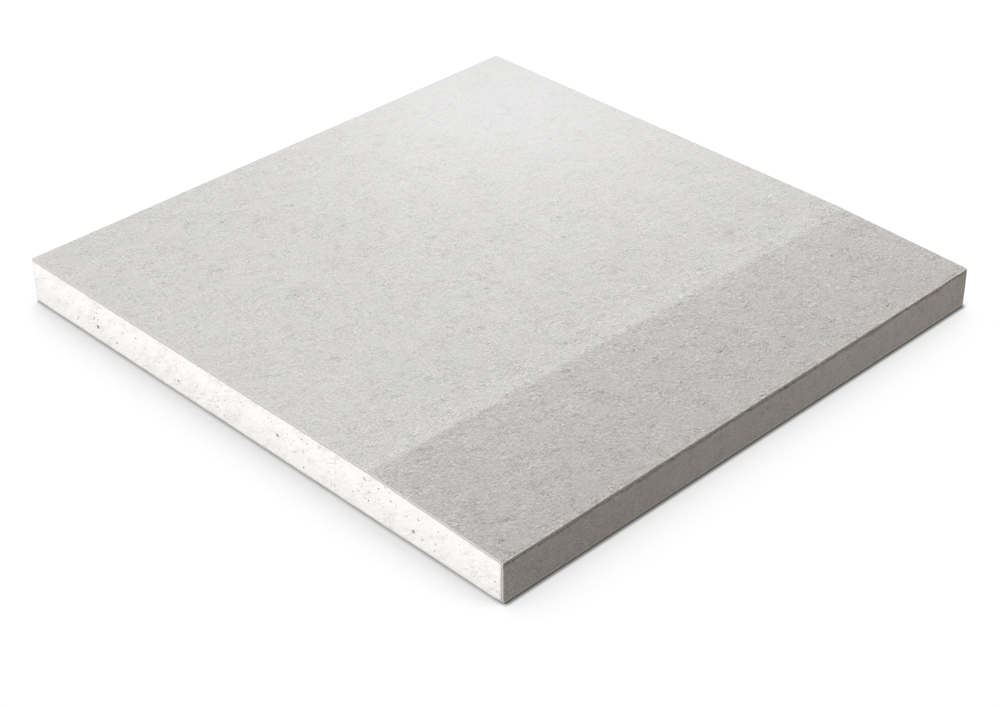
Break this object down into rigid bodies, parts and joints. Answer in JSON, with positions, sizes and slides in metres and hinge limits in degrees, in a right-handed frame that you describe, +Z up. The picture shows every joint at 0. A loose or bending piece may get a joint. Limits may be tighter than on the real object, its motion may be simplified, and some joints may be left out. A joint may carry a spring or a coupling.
{
  "type": "drywall sheet sample",
  "caption": "Cut sample of tapered-edge gypsum plasterboard, lying face up: white core, grey face paper turned over the factory edge, and a back paper.",
  "frame": {"origin": "middle of the underside, on the plane the board lies on", "axes": "+Z up out of the face paper, +X out of the factory edge, +Y along the factory edge"},
  "size_m": [0.168, 0.165, 0.0125],
  "materials": {
    "gypsum": "matt, chalky, with small air voids",
    "face_paper": "matt recycled-fibre paper, light grey, faintly mottled",
    "back_paper": "matt recycled-fibre paper, grey-brown"
  },
  "bodies": {
    "root": {"gypsum_core": "gypsum", "face_paper": "face_paper", "back_paper": "back_paper"}
  },
  "joints": []
}
